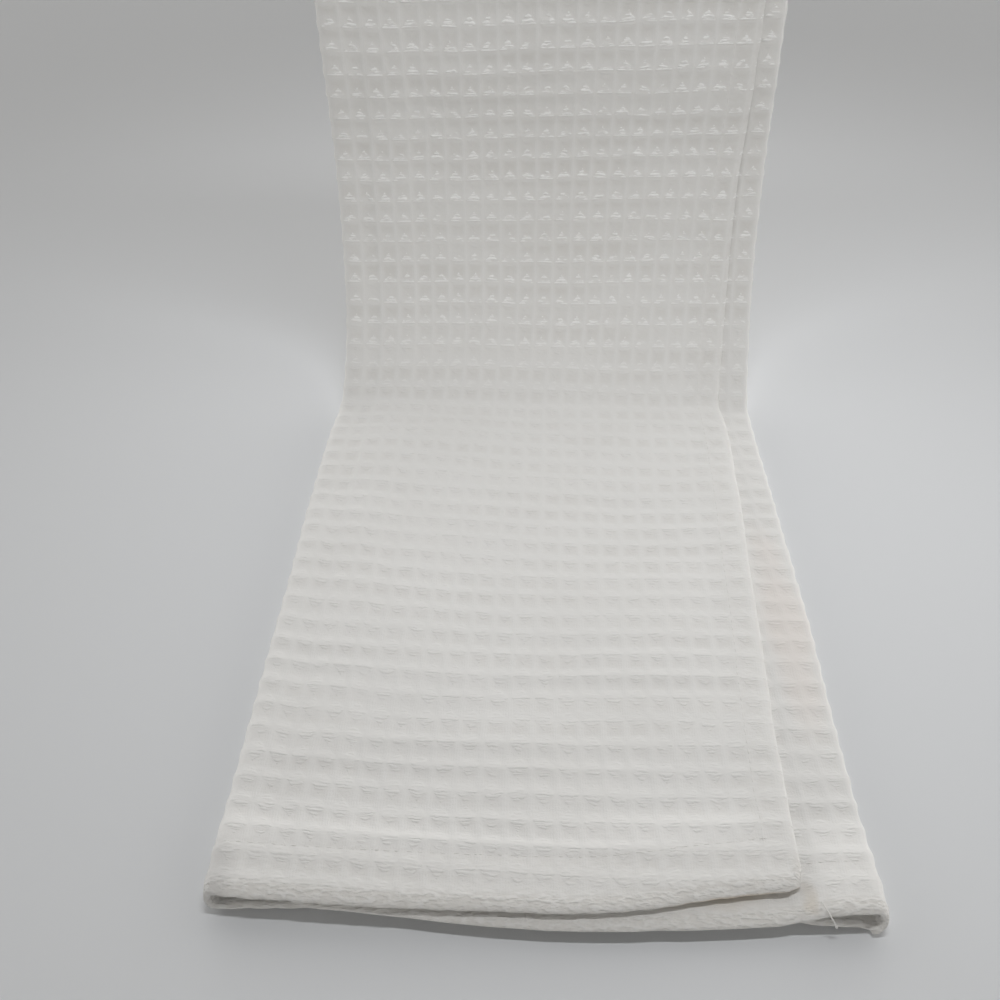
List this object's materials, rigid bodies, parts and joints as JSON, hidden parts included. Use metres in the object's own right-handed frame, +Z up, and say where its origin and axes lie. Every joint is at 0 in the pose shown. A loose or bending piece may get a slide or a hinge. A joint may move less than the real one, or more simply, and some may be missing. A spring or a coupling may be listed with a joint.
{
  "type": "folded waffle-weave dish towel",
  "caption": "White cotton waffle-weave dish towel, folded in thirds along its length, its upper part hanging straight down and its lower part bent forward to lie flat on a surface.",
  "frame": {"origin": "on the surface that the lower part lies on, at the middle of the towel's bounding box across and from front to back", "axes": "+X across the towel to the right, +Y back from the front edge towards the hanging part, +Z up"},
  "size_m": [0.1836, 0.2678, 0.4702],
  "materials": {
    "waffle_cotton": "white cotton waffle weave, matte, with stitched hems"
  },
  "bodies": {
    "root": {"dish_towel": "waffle_cotton"}
  },
  "joints": []
}
